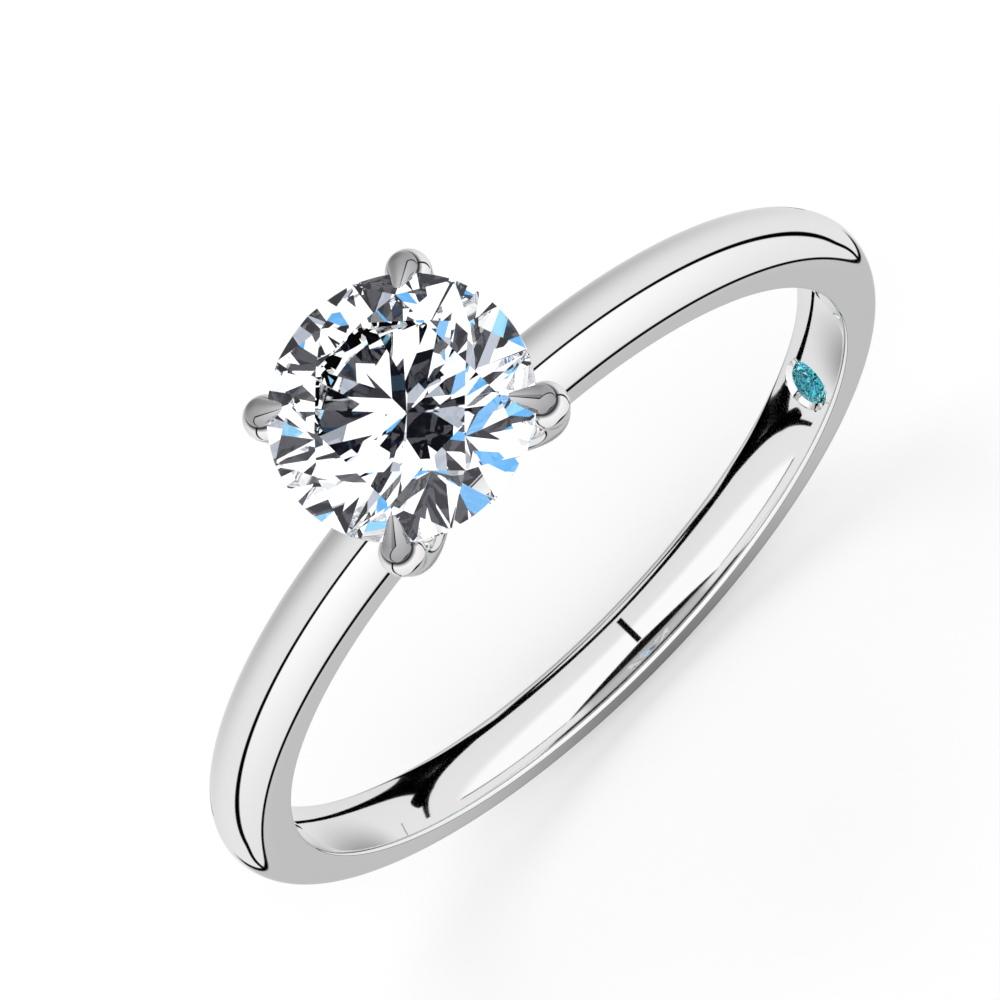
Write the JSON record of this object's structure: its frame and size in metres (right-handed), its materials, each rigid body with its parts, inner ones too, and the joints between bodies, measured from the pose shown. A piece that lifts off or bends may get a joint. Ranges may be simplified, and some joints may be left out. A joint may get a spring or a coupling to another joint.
{
  "type": "engagement ring",
  "caption": "Round-brilliant solitaire ring: four claws on a cup and rail, a slim domed band, and a small blue-green stone set flush inside the band.",
  "frame": {"origin": "centre of the finger bore, in the middle of the band's width", "axes": "+Y along the finger bore, +Z from the bore's centre to the centre stone, +X across, towards the side that holds the hidden stone"},
  "size_m": [0.0204, 0.0058, 0.0244],
  "materials": {
    "white_gold": "polished white gold",
    "diamond": "polished colourless gemstone, refractive index 2.42",
    "blue_green_stone": "polished blue-green gemstone"
  },
  "bodies": {
    "root": {"shank": "white_gold", "head_base": "white_gold", "gallery_rail": "white_gold", "claw_back_right": "white_gold", "claw_back_left": "white_gold", "claw_front_left": "white_gold", "claw_front_right": "white_gold", "centre_diamond": "diamond", "hidden_gem": "blue_green_stone"}
  },
  "joints": []
}
